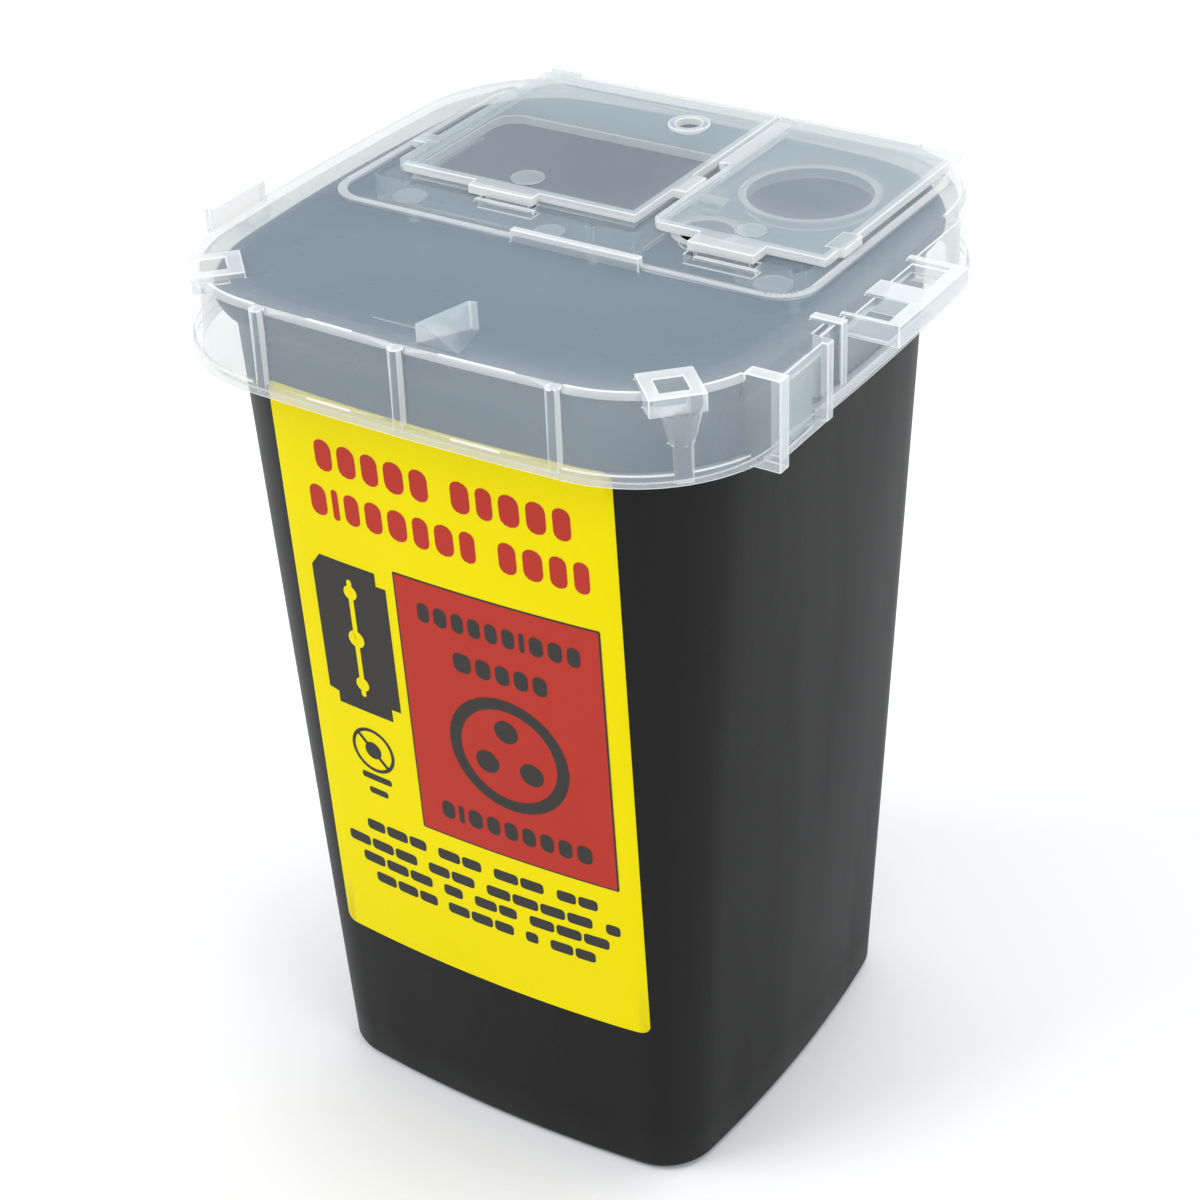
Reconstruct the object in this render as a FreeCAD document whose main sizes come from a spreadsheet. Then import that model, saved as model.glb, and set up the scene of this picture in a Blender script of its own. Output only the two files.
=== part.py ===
import FreeCAD, Part
import Sketcher
import math
import os

os.makedirs("parts", exist_ok=True)
doc = FreeCAD.newDocument("sharps_container")
sheet = doc.addObject("Spreadsheet::Sheet", "Sizes")

# Lengths in millimetres, angles in degrees.  The base stands on z = 0, the label faces -Y.
SIZES = {
    "floor_thickness": 2.0,
    "foot_height": 1.2,
    "wall_top": 156.2,
    "rim_low": 158.6,
    "rim_shoulder": 160.6,
    "rim_top": 163.3,
    "foot_half": 40.0,
    "foot_side_radius": 262.0,
    "foot_corner": 9.8,
    "base_half": 40.8,
    "base_side_radius": 262.0,
    "base_corner": 10.5,
    "wall_half": 47.82,
    "wall_side_radius": 368.5,
    "wall_corner": 19.72,
    "rim_half": 50.5,
    "rim_side_radius": 441.0,
    "rim_corner": 22.0,
    "crown_half": 47.8,
    "crown_side_radius": 380.0,
    "crown_corner": 19.9,
    "cavity_floor_half": 39.0,
    "cavity_floor_radius": 262.0,
    "cavity_floor_corner": 8.8,
    "cavity_top": 164.0,
    "cavity_top_half": 46.3,
    "cavity_top_radius": 366.0,
    "cavity_top_corner": 18.5,
    "deck_top": 165.0,
    "deck_under": 163.4,
    "skirt_low": 150.0,
    "skirt_bead_top": 152.2,
    "skirt_foot": 152.5,
    "hollow_low": 149.0,
    "deck_edge_low": 164.0,
    "deck_top_half": 52.3,
    "deck_top_corner": 23.1,
    "deck_half": 53.2,
    "deck_side_radius": 591.0,
    "deck_corner": 24.0,
    "skirt_half": 53.7,
    "skirt_side_radius": 591.0,
    "skirt_corner": 24.5,
    "bead_half": 54.3,
    "bead_side_radius": 591.0,
    "bead_corner": 25.0,
    "hollow_top_half": 51.8,
    "hollow_low_half": 52.5,
    "hollow_side_radius": 591.0,
    "hollow_corner": 22.8,
    "flap_gap": 0.2,
    "flap_thickness": 1.5,
    "flap_skin": 0.7,
    "disc_height": 0.15,
    "label_gap": 0.06,
    "label_thickness": 0.16,
    "label_low": 34.0,
    "label_high": 148.4,
    "label_left": -31.5,
    "label_right": 33.2,
    "label_corner": 1.6,
    "label_depth": 30.0,
    "hinge_line": 47.7,
}

next_row = 1


def set_size(alias, value):
    """Write one sheet row: a number, or a formula given as text."""
    global next_row
    content = "=" + value if isinstance(value, str) else str(value)
    sheet.set(f"A{next_row}", alias)
    sheet.set(f"B{next_row}", content)
    sheet.setAlias(f"B{next_row}", alias)
    next_row += 1


def number(alias):
    """The current value of a sheet size."""
    return float(sheet.get(alias))


for size_name, size_value in SIZES.items():
    set_size(size_name, size_value)
set_size("flap_low", "deck_top + flap_gap")
set_size("flap_top", "flap_low + flap_thickness")
set_size("flap_skin_low", "flap_top - flap_skin")
set_size("hinge_height", "(flap_low + flap_top) / 2")
set_size("disc_top", "deck_top + disc_height")
set_size("flap_disc_top", "flap_top + disc_height")
doc.recompute()


def bind(obj, prop, expression):
    """Drive one property from the sheet, with sheet names written in curly brackets."""
    obj.setExpression(prop, expression.replace("{", "Sizes.").replace("}", ""))


def store_span(name, ends, low_suffix, high_suffix):
    """Store a feature's two limits along one axis."""
    set_size(f"{name}_{low_suffix}", ends[0])
    set_size(f"{name}_{high_suffix}", ends[1])


def block(name, x, y, z):
    """A rectangular block between stored limits."""
    store_span(name, x, "left", "right")
    store_span(name, y, "front", "back")
    store_span(name, z, "low", "high")
    box = doc.addObject("Part::Box", name)
    bind(box, "Length", f"{{{name}_right}} - {{{name}_left}}")
    bind(box, "Width", f"{{{name}_back}} - {{{name}_front}}")
    bind(box, "Height", f"{{{name}_high}} - {{{name}_low}}")
    bind(box, "Placement.Base.x", f"{{{name}_left}}")
    bind(box, "Placement.Base.y", f"{{{name}_front}}")
    bind(box, "Placement.Base.z", f"{{{name}_low}}")
    return box


def corner_block(name, side, centre, depth, width, z):
    """A block turned 45 degrees about its centre, given as distances right and forward of the axis.

    side is 1 at the right front corner and -1 at the left one.
    """
    set_size(f"{name}_across", centre[0])
    set_size(f"{name}_forward", centre[1])
    set_size(f"{name}_depth", depth)
    set_size(f"{name}_width", width)
    store_span(name, z, "low", "high")
    box = doc.addObject("Part::Box", name)
    box.Placement.Rotation = FreeCAD.Rotation(FreeCAD.Vector(0, 0, 1), -90 + 45 * side)
    bind(box, "Length", f"{{{name}_depth}}")
    bind(box, "Width", f"{{{name}_width}}")
    bind(box, "Height", f"{{{name}_high}} - {{{name}_low}}")
    near = f"{{{name}_depth}} / 2"
    half = f"{{{name}_width}} / 2"
    bind(box, "Placement.Base.x",
         f"{side} * {{{name}_across}} - ({side} * {near} + {half}) * sqrt(0.5)")
    bind(box, "Placement.Base.y",
         f"({near} - {side} * {half}) * sqrt(0.5) - {{{name}_forward}}")
    bind(box, "Placement.Base.z", f"{{{name}_low}}")
    return box


def drum(name, x, y, radius, z):
    """A vertical cylinder between stored limits."""
    set_size(f"{name}_across", x)
    set_size(f"{name}_along", y)
    set_size(f"{name}_radius", radius)
    store_span(name, z, "low", "high")
    cylinder = doc.addObject("Part::Cylinder", name)
    bind(cylinder, "Radius", f"{{{name}_radius}}")
    bind(cylinder, "Height", f"{{{name}_high}} - {{{name}_low}}")
    bind(cylinder, "Placement.Base.x", f"{{{name}_across}}")
    bind(cylinder, "Placement.Base.y", f"{{{name}_along}}")
    bind(cylinder, "Placement.Base.z", f"{{{name}_low}}")
    return cylinder


def rod_along_x(name, x, y, z, radius):
    """A round edge that runs from side to side."""
    store_span(name, x, "left", "right")
    set_size(f"{name}_along", y)
    set_size(f"{name}_height", z)
    set_size(f"{name}_radius", radius)
    rod = doc.addObject("Part::Cylinder", name)
    rod.Placement.Rotation = FreeCAD.Rotation(FreeCAD.Vector(0, 1, 0), 90)
    bind(rod, "Radius", f"{{{name}_radius}}")
    bind(rod, "Height", f"{{{name}_right}} - {{{name}_left}}")
    bind(rod, "Placement.Base.x", f"{{{name}_left}}")
    bind(rod, "Placement.Base.y", f"{{{name}_along}}")
    bind(rod, "Placement.Base.z", f"{{{name}_height}}")
    return rod


def fuse(name, pieces):
    """Join overlapping features into one solid."""
    joined = doc.addObject("Part::MultiFuse", name)
    joined.Shapes = pieces
    joined.Refine = True
    return joined


def cut(name, base, tool):
    """Take one shape away from another."""
    remainder = doc.addObject("Part::Cut", name)
    remainder.Base = base
    remainder.Tool = tool
    remainder.Refine = True
    return remainder


def origin_plane(body, role):
    """One of a body's own origin planes."""
    return next(item for item in body.Origin.OriginFeatures if item.Role == role)


def bowed_square(body, name, half, side_radius, corner, height):
    """A square outline with four bowed sides and tangent round corners, at a height."""
    side_r = number(side_radius)
    corner_r = number(corner)
    offset = side_r - number(half)
    reach = (math.sqrt(2 * (side_r - corner_r) ** 2 - offset ** 2) - offset) / 2
    lean = math.atan2(reach, offset + reach)
    sketch = body.newObject("Sketcher::SketchObject", name)
    sketch.AttachmentSupport = [(origin_plane(body, "XY_Plane"), "")]
    sketch.MapMode = "FlatFace"
    bind(sketch, "AttachmentOffset.Base.z", f"{{{height}}}")
    up = FreeCAD.Vector(0, 0, 1)
    for quarter in range(4):
        turn = quarter * math.pi / 2
        outward = FreeCAD.Vector(math.cos(turn), math.sin(turn), 0)
        side_circle = Part.Circle(outward * -offset, up, side_r)
        sketch.addGeometry(Part.ArcOfCircle(side_circle, turn - lean, turn + lean))
        diagonal = FreeCAD.Vector(math.cos(turn + math.pi / 4), math.sin(turn + math.pi / 4), 0)
        corner_circle = Part.Circle(diagonal * (reach * math.sqrt(2)), up, corner_r)
        arc = Part.ArcOfCircle(corner_circle, turn + lean, turn + math.pi / 2 - lean)
        sketch.addGeometry(arc)
    for first in range(8):
        sketch.addConstraint(Sketcher.Constraint("Tangent", first, 2, (first + 1) % 8, 1))
    centre_ties = (
        ("DistanceX", 0, 3, -1, 1),
        ("DistanceY", 2, 3, -1, 1),
        ("DistanceX", -1, 1, 4, 3),
        ("DistanceY", -1, 1, 6, 3),
    )
    for quarter, tie in enumerate(centre_ties):
        side = 2 * quarter
        sketch.addConstraint(Sketcher.Constraint("PointOnObject", side, 3, -1 - quarter % 2))
        index = sketch.addConstraint(Sketcher.Constraint(*tie, offset))
        sketch.renameConstraint(index, f"centre_{quarter}")
        bind(sketch, f"Constraints.centre_{quarter}", f"{{{side_radius}}} - {{{half}}}")
        index = sketch.addConstraint(Sketcher.Constraint("Radius", side, side_r))
        sketch.renameConstraint(index, f"side_{quarter}")
        bind(sketch, f"Constraints.side_{quarter}", f"{{{side_radius}}}")
        index = sketch.addConstraint(Sketcher.Constraint("Radius", side + 1, corner_r))
        sketch.renameConstraint(index, f"corner_{quarter}")
        bind(sketch, f"Constraints.corner_{quarter}", f"{{{corner}}}")
    return sketch


def loft(body, kind, name, sketches):
    """Join outlines by straight walls, as an additive or a subtractive loft."""
    feature = body.newObject(f"PartDesign::{kind}Loft", name)
    feature.Profile = sketches[0]
    feature.Sections = sketches[1:]
    feature.Ruled = True
    feature.Refine = False
    for sketch in sketches:
        sketch.Visibility = False
    body.Tip = feature
    return feature


def lofted_body(name, rings):
    """A body made of one loft through named outlines, each (half, side radius, corner, height)."""
    body = doc.addObject("PartDesign::Body", name)
    outlines = []
    for number_of_ring, ring in enumerate(rings):
        outlines.append(bowed_square(body, f"{name}_outline_{number_of_ring}", *ring))
    loft(body, "Additive", f"{name}_loft", outlines)
    return body


def rounded_plate(name, x, y, z, corner):
    """An upright plate with four rounded corners in plan, as two blocks and four drums."""
    left, right = x
    front, back = y
    set_size(f"{name}_corner", corner)
    long_way = block(f"{name}_long", (left, right), (front + corner, back - corner), z)
    deep_way = block(f"{name}_deep", (left + corner, right - corner), (front, back), z)
    drums = []
    for side, across in (("left", left + corner), ("right", right - corner)):
        for end, along in (("front", front + corner), ("back", back - corner)):
            drums.append(drum(f"{name}_{side}_{end}_round", across, along, corner, z))
    return fuse(name, [long_way, deep_way] + drums)


def eased_plate(name, x, y, z, corner, end):
    """An upright plate whose left corner at one end, front or back, is rounded."""
    left, right = x
    front, back = y
    set_size(f"{name}_corner", corner)
    if end == "front":
        wide_span, centre = (front + corner, back), front + corner
    else:
        wide_span, centre = (front, back - corner), back - corner
    return fuse(name, [
        block(f"{name}_wide", (left, right), wide_span, z),
        block(f"{name}_deep", (left + corner, right), (front, back), z),
        drum(f"{name}_round", left + corner, centre, corner, z),
    ])


# Container tub: a tapered, bowed-sided bucket with a flared rim.
tub = doc.addObject("PartDesign::Body", "container_tub")
tub_rings = (
    ("foot_half", "foot_side_radius", "foot_corner", "tub_base"),
    ("base_half", "base_side_radius", "base_corner", "foot_height"),
    ("wall_half", "wall_side_radius", "wall_corner", "wall_top"),
    ("rim_half", "rim_side_radius", "rim_corner", "rim_low"),
    ("rim_half", "rim_side_radius", "rim_corner", "rim_shoulder"),
    ("crown_half", "crown_side_radius", "crown_corner", "rim_top"),
)
set_size("tub_base", 0.0)
doc.recompute()
tub_outlines = []
for ring_number, tub_ring in enumerate(tub_rings):
    tub_outlines.append(bowed_square(tub, f"tub_outline_{ring_number}", *tub_ring))
loft(tub, "Additive", "tub_outside", tub_outlines)
doc.recompute()
solid_volume = tub.Shape.Volume
cavity_outlines = [
    bowed_square(tub, "cavity_floor", "cavity_floor_half", "cavity_floor_radius",
                 "cavity_floor_corner", "floor_thickness"),
    bowed_square(tub, "cavity_mouth", "cavity_top_half", "cavity_top_radius",
                 "cavity_top_corner", "cavity_top"),
]
loft(tub, "Subtractive", "tub_cavity", cavity_outlines)
doc.recompute()
if tub.Shape.Volume > 0.3 * solid_volume:
    raise RuntimeError("the tub's cavity was not cut")

# Front label: a thin printed sheet that hugs the bowed front wall.
for skin, lift in (("inner", "label_gap"), ("outer", "label_gap + label_thickness")):
    set_size(f"label_{skin}_base_half", f"base_half + {lift}")
    set_size(f"label_{skin}_wall_half", f"wall_half + {lift}")
doc.recompute()
label_skins = []
for skin in ("inner", "outer"):
    label_skins.append(lofted_body(f"label_{skin}_skin", (
        (f"label_{skin}_base_half", "base_side_radius", "base_corner", "foot_height"),
        (f"label_{skin}_wall_half", "wall_side_radius", "wall_corner", "wall_top"),
    )))
label_shell = cut("label_shell", label_skins[1], label_skins[0])
label_blanks = [
    block("label_wide", ("label_left", "label_right"), ("-wall_half - 4", "-label_depth"),
          ("label_low + label_corner", "label_high - label_corner")),
    block("label_tall", ("label_left + label_corner", "label_right - label_corner"),
          ("-wall_half - 4", "-label_depth"), ("label_low", "label_high")),
]
for side, across in (("left", "label_left + label_corner"),
                     ("right", "label_right - label_corner")):
    for end, height in (("low", "label_low + label_corner"),
                        ("high", "label_high - label_corner")):
        set_size(f"label_{side}_{end}_across", across)
        set_size(f"label_{side}_{end}_height", height)
        corner_round = doc.addObject("Part::Cylinder", f"label_{side}_{end}_round")
        corner_round.Placement.Rotation = FreeCAD.Rotation(FreeCAD.Vector(1, 0, 0), 90)
        bind(corner_round, "Radius", "{label_corner}")
        bind(corner_round, "Height", "{wall_half} + 4 - {label_depth}")
        bind(corner_round, "Placement.Base.x", f"{{label_{side}_{end}_across}}")
        bind(corner_round, "Placement.Base.y", "-{label_depth}")
        bind(corner_round, "Placement.Base.z", f"{{label_{side}_{end}_height}}")
        label_blanks.append(corner_round)
label_blank = fuse("label_blank", label_blanks)
label = doc.addObject("Part::Common", "front_label")
label.Base = label_shell
label.Tool = label_blank

# Lid shell, outside: the skirt with its bottom bead, the deck and what stands out from them.
skirt_and_deck = lofted_body("skirt_and_deck", (
    ("bead_half", "bead_side_radius", "bead_corner", "skirt_low"),
    ("bead_half", "bead_side_radius", "bead_corner", "skirt_bead_top"),
    ("skirt_half", "skirt_side_radius", "skirt_corner", "skirt_foot"),
    ("deck_half", "deck_side_radius", "deck_corner", "deck_edge_low"),
    ("deck_top_half", "deck_side_radius", "deck_top_corner", "deck_top"),
))
lid_outside = [skirt_and_deck]
for rib_name, rib_across in (("left", -26.0), ("middle", 0.8), ("right", 28.5)):
    bowed_face = f"0.2 - skirt_half + {rib_across}^2 / (2 * skirt_side_radius)"
    lid_outside.append(drum(f"front_rib_{rib_name}", rib_across, bowed_face, 1.25,
                            ("skirt_low + 1", "deck_top")))

# Right side: lock housing, guide wall and the pierced wing.
lid_outside += [
    block("lock_housing", (49.6, 56.0), (-36.3, -20.5), ("skirt_low + 1", "deck_top")),
    block("lock_front_post", (51.0, 57.2), (-37.0, -34.4), ("skirt_low + 0.4", "deck_top + 0.6")),
    block("lock_rear_post", (54.6, 57.0), (-22.2, -20.4), ("skirt_low + 2", "deck_top")),
    block("guide_wall", (50.6, 54.8), (-20.6, 27.0), ("skirt_low + 3", "deck_top")),
    block("guide_lip", (50.6, 56.4), (-20.6, 14.0), ("skirt_low + 3", "skirt_low + 5")),
    block("guide_post", (50.6, 56.2), (-16.3, -14.5), ("skirt_low + 3", "deck_top + 0.6")),
    block("wing", (53.0, 64.0), (-13.0, 10.6), ("deck_under", "deck_top")),
    block("wing_outer_rim", (61.7, 64.0), (-13.0, 10.6), ("deck_under - 1.6", "deck_top + 0.4")),
    block("wing_front_rim", (54.0, 64.0), (-13.0, -12.0), ("deck_under - 1.6", "deck_top + 0.4")),
    block("wing_rear_rim", (54.0, 64.0), (9.0, 10.6), ("deck_under - 1.6", "deck_top + 0.4")),
    block("wing_bridge", (54.0, 64.0), (-4.9, 0.4), ("deck_under - 1", "deck_top + 0.4")),
]

# Front corners: a square eye on each, with a tapered boss and a rib below it.
EYES = (("right", 1, (43.9, 45.4)), ("left", -1, (40.6, 45.0)))
for side_name, side, eye_centre in EYES:
    lid_outside.append(corner_block(f"eye_{side_name}", side, eye_centre, 8.8, 8.8,
                                    ("deck_under - 0.4", "deck_top + 1")))
lid_outside.append(corner_block("eye_rib", 1, (45.9, 45.9), 3.0, 2.8,
                                ("skirt_low + 1", "deck_under - 5")))
boss = doc.addObject("Part::Cone", "eye_boss")
set_size("boss_tip", 2.0)
set_size("boss_root", 3.6)
set_size("boss_reach", 45.6)
set_size("boss_length", 6.4)
bind(boss, "Radius1", "{boss_tip}")
bind(boss, "Radius2", "{boss_root}")
bind(boss, "Height", "{boss_length}")
bind(boss, "Placement.Base.x", "{boss_reach}")
bind(boss, "Placement.Base.y", "-{boss_reach}")
bind(boss, "Placement.Base.z", "{deck_under} - {boss_length}")
lid_outside.append(boss)

# Deck furniture.
lid_outside += [
    block("finger_tab", (-5.0, 19.2), (-14.2, -12.8), ("deck_top - 0.8", "deck_top + 2.2")),
    block("left_edge_tab", (-51.3, -50.0), (-34.0, -20.0), ("deck_under", "deck_top + 4")),
    block("back_lug", (-39.0, -33.0), (49.5, 50.9), ("deck_under", "deck_top + 2")),
    block("hinge_rail_left", (-36.0, 9.0), (49.5, 50.7), ("deck_under", "deck_top + 0.9")),
    block("hinge_rail_right", (11.5, 36.0), (49.5, 50.7), ("deck_under", "deck_top + 0.9")),
    block("large_catch", (-19.4, -7.6), (-3.6, -2.6), ("deck_under", "deck_top + 0.4")),
    block("small_catch", (24.4, 35.8), (-6.4, -5.4), ("deck_under", "deck_top + 0.4")),
    drum("round_collar", 28.7, 24.4, 11.9, ("deck_under - 0.4", "deck_top + 0.4")),
    drum("notch_collar", 21.0, 3.8, 5.9, ("deck_under - 0.4", "disc_top")),
    block("mould_line", (-8.0, 8.0), (-47.2, -46.9), ("deck_top - 0.5", "disc_top")),
    block("notch_bar", (13.2, 18.2), (13.8, 16.5), ("deck_top - 0.5", "disc_top")),
    drum("strip_disc_left", -30.0, -7.0, 3.0, ("deck_top - 0.5", "disc_top")),
    drum("strip_disc_middle", -1.5, -8.0, 2.6, ("deck_top - 0.5", "disc_top")),
    drum("strip_disc_right", 40.0, -8.4, 3.2, ("deck_top - 0.5", "disc_top")),
]

# The fin at the front edge leans from a wide foot to a narrow crest that rises towards its tip.
FIN_FOOT = (("fin_foot_left", 3.0, -51.0), ("fin_foot_right", 11.7, -51.0),
            ("fin_foot_tip", 8.9, -43.0), ("fin_foot_back", 7.5, -43.1))
FIN_CREST = (("fin_crest_left", 3.0, -51.0), ("fin_crest_right", 4.3, -50.9),
             ("fin_crest_tip", 8.8, -43.0), ("fin_crest_back", 7.5, -43.1))
set_size("fin_low", "deck_top - 0.6")
set_size("fin_front_high", "deck_top + 3.3")
set_size("fin_tip_high", "deck_top + 4.8")
for corner_name, corner_x, corner_y in FIN_FOOT + FIN_CREST:
    set_size(f"{corner_name}_x", corner_x)
    set_size(f"{corner_name}_y", corner_y)
doc.recompute()
fin_rings = []
for ring_name, corners, heights in (
    ("fin_foot", FIN_FOOT, ("fin_low", "fin_low", "fin_low", "fin_low")),
    ("fin_crest", FIN_CREST, ("fin_front_high", "fin_front_high", "fin_tip_high", "fin_tip_high")),
):
    ring = doc.addObject("Part::Polygon", ring_name)
    ring.Nodes = [
        FreeCAD.Vector(number(f"{corner[0]}_x"), number(f"{corner[0]}_y"), number(height))
        for corner, height in zip(corners, heights)
    ]
    ring.Close = True
    fin_rings.append(ring)
fin = doc.addObject("Part::Loft", "front_fin")
fin.Sections = fin_rings
fin.Solid = True
fin.Ruled = True
lid_outside.append(fin)
outline_outer = rounded_plate("outline_outer", (-43.6, 47.4), (-13.6, 43.4),
                              ("deck_top - 0.5", "deck_top + 0.5"), 7.0)
outline_inner = rounded_plate("outline_inner", (-42.0, 45.8), (-12.0, 41.8),
                              ("deck_top - 0.6", "deck_top + 0.6"), 5.4)
under_flaps = block("under_flaps", (-41.0, 45.2), (-8.0, 60.0), ("deck_top", "deck_top + 3"))
outline_bead = cut("outline_bead", cut("outline_ring", outline_outer, outline_inner), under_flaps)
lid_outside.append(outline_bead)
lid_bulk = fuse("lid_bulk", lid_outside)

# What is open in the lid shell: the hollow over the rim, the drop openings and the windows.
lid_hollow = lofted_body("lid_hollow", (
    ("hollow_low_half", "hollow_side_radius", "hollow_corner", "hollow_low"),
    ("hollow_top_half", "hollow_side_radius", "hollow_corner", "deck_under"),
))
through = ("deck_under - 1", "deck_top + 1.5")
lid_openings = [
    lid_hollow,
    eased_plate("large_opening", (-36.6, 7.8), (2.8, 31.5), through, 4.2, "back"),
    drum("round_opening", 28.7, 24.4, 10.6, ("deck_under - 3", "deck_top + 1.5")),
    drum("notch_opening", 21.0, 3.8, 4.5, ("deck_under - 2", "deck_top + 1.5")),
    block("notch_slot", (13.8, 18.0), (12.0, 13.3), through),
    block("large_catch_slot", (-19.5, -9.0), (-2.4, 0.2), through),
    block("small_catch_slot", (22.0, 34.4), (-5.2, -2.4), through),
    block("wing_rear_window", (55.4, 61.6), (0.6, 8.4), ("deck_under - 3", "deck_top + 1.5")),
    block("wing_front_window", (55.8, 61.6), (-11.6, -5.1), ("deck_under - 3", "deck_top + 1.5")),
    block("guide_slot", (53.2, 54.2), (-20.2, -16.6), ("skirt_low + 4.5", "deck_top + 1")),
    block("lock_pocket", (53.6, 54.8), (-33.4, -23.0), ("skirt_low - 1", "deck_under - 0.4")),
    block("lock_recess", (55.5, 57.6), (-33.8, -22.6), ("skirt_low + 2.6", "deck_under - 0.2")),
    block("rear_slit", (48.0, 53.4), (29.4, 30.1), ("skirt_low + 4", "deck_under")),
    corner_block("eye_hole_right", 1, (44.2, 45.7), 4.5, 4.5, ("deck_under - 1.2", "deck_top + 2")),
    corner_block("eye_hole_left", -1, (40.9, 45.3), 4.5, 4.5, ("deck_under - 1.2", "deck_top + 2")),
]
lid_open = cut("lid_open", lid_bulk, fuse("lid_openings", lid_openings))

# Inside: walls hang around the drop openings, with three deeper ribs in front.
collar_height = ("deck_under - 4.8", "deck_under + 0.2")
collar = [
    block("collar_front_left", (-43.2, 8.8), (1.0, 2.0), collar_height),
    block("collar_left", (-43.2, -42.2), (1.0, 32.0), collar_height),
    block("collar_divider", (7.8, 8.8), (1.0, 31.0), collar_height),
    block("collar_front_right", (27.6, 40.6), (1.0, 2.0), collar_height),
    block("collar_right", (39.6, 40.6), (1.0, 31.0), collar_height),
]
for rib_name, rib_left in (("left", -36.0), ("middle", 0.4), ("right", 38.4)):
    collar.append(block(f"collar_rib_{rib_name}", (rib_left, rib_left + 1.4), (-0.2, 1.2),
                        ("deck_under - 7", "deck_under + 0.2")))
lid_shell = fuse("lid_shell", [lid_open] + collar)

# Large flap: framed window, latch tab in front, ring boss behind, hinge along the back.
slab = ("flap_low", "flap_top")
under_skin = ("flap_low - 1", "flap_skin_low")
hinge_radius = "flap_thickness / 2"
large_solid = fuse("large_flap_solid", [
    eased_plate("large_slab", (-38.8, 9.4), (0.8, 20.0), slab, 2.4, "front"),
    block("large_slab_back", (-38.8, 9.4), (19.0, "hinge_line"), slab),
    rod_along_x("large_hinge_edge", (-38.8, 9.4), "hinge_line", "hinge_height", hinge_radius),
    block("large_latch_tab", (-22.0, -9.2), (-1.5, 2.0), slab),
    block("large_latch_lip", (-18.6, -10.0), (-1.4, -0.4), ("deck_top - 1.2", "flap_low + 0.5")),
    block("large_edge_stop", (9.0, 11.9), (12.6, 19.4), slab),
    block("large_thumb_tab", (-41.6, -38.0), (10.0, 13.8), ("flap_low + 0.1", "flap_top")),
    drum("large_boss", -2.2, 37.4, 3.7, ("flap_low + 0.1", "flap_top + 0.6")),
    drum("large_disc", -14.5, 5.4, 2.9, ("flap_skin_low + 0.1", "flap_disc_top")),
])
large_hollows = fuse("large_flap_hollows", [
    eased_plate("large_recess", (-37.0, 8.2), (2.2, 45.8), under_skin, 4.5, "back"),
    drum("large_boss_hole", -2.2, 37.4, 2.3, ("flap_low - 1", "flap_top + 2")),
])
large_flap = cut("large_flap", large_solid, large_hollows)

# Small flap: a plain framed lid over the round opening, with a stepped left edge.
small_solid = fuse("small_flap_solid", [
    eased_plate("small_slab", (12.4, 44.5), (0.3, 20.0), slab, 2.4, "front"),
    block("small_slab_back", (12.4, 44.5), (19.0, "hinge_line"), slab),
    block("small_slab_step", (10.4, 13.0), (26.0, "hinge_line"), slab),
    rod_along_x("small_hinge_edge", (10.4, 44.5), "hinge_line", "hinge_height", hinge_radius),
    block("small_latch_tab", (21.8, 34.0), (-3.8, 1.0), slab),
    block("small_latch_lip", (22.8, 33.2), (-3.6, -2.7), ("deck_top - 1.2", "flap_low + 0.5")),
    block("small_thumb_block", (42.2, 45.6), (4.5, 10.5), ("flap_low + 0.1", "flap_top + 0.2")),
    drum("small_disc", 29.0, 4.4, 2.5, ("flap_skin_low + 0.1", "flap_disc_top")),
])
small_recess = block("small_recess", (13.6, 43.3), (1.6, 45.8), under_skin)
small_flap = cut("small_flap", small_solid, small_recess)

NODES = (tub, label, lid_shell, large_flap, small_flap)
doc.recompute()
for obj in doc.Objects:
    if "Invalid" in obj.State or "Error" in obj.State:
        raise RuntimeError(f"{obj.Label} did not compute: {obj.State}")
for node in NODES:
    shape = node.Shape
    if shape.isNull() or not shape.isValid() or len(shape.Solids) != 1:
        raise RuntimeError(f"{node.Label} is not one valid solid")
    shape.exportStep(f"parts/{node.Label}.step")
    box = shape.BoundBox
    print(node.Label, len(shape.Faces), round(shape.Volume, 1),
          [round(v, 2) for v in (box.XMin, box.XMax, box.YMin, box.YMax, box.ZMin, box.ZMax)])
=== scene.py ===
"""A sharps container: black tub, printed label, milky lid and two hinged flaps.

Lengths are in millimetres and turn into metres by MM. The label faces -Y and +Z is up.
"""
import math

import bmesh
import bpy
from mathutils import Matrix, Vector
from mathutils.bvhtree import BVHTree


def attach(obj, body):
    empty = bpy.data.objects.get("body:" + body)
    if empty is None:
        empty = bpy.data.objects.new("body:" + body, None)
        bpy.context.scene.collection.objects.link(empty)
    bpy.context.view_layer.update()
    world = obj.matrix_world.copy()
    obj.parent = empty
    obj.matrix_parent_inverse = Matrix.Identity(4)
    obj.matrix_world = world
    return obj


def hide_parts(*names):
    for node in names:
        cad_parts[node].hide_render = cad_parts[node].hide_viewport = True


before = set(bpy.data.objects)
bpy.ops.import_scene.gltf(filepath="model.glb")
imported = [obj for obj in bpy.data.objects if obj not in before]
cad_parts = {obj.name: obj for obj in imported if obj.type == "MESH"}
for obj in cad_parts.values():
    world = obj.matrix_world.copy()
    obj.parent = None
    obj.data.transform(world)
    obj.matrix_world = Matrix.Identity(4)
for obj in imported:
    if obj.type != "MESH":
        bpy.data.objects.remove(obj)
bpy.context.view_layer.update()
MM = 0.001

# Outlines of the tub's wall, outside and inside: height, half width at mid-face, side radius and
# corner radius, in mm.
BASE_RING = (1.2, 40.8, 262.0, 10.5)
WALL_RING = (156.2, 47.82, 368.5, 19.72)
CAVITY_FLOOR_RING = (2.0, 39.0, 262.0, 8.8)
CAVITY_MOUTH_RING = (164.0, 46.3, 366.0, 18.5)

VIEW_AZIMUTH = math.radians(33.65)


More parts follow.
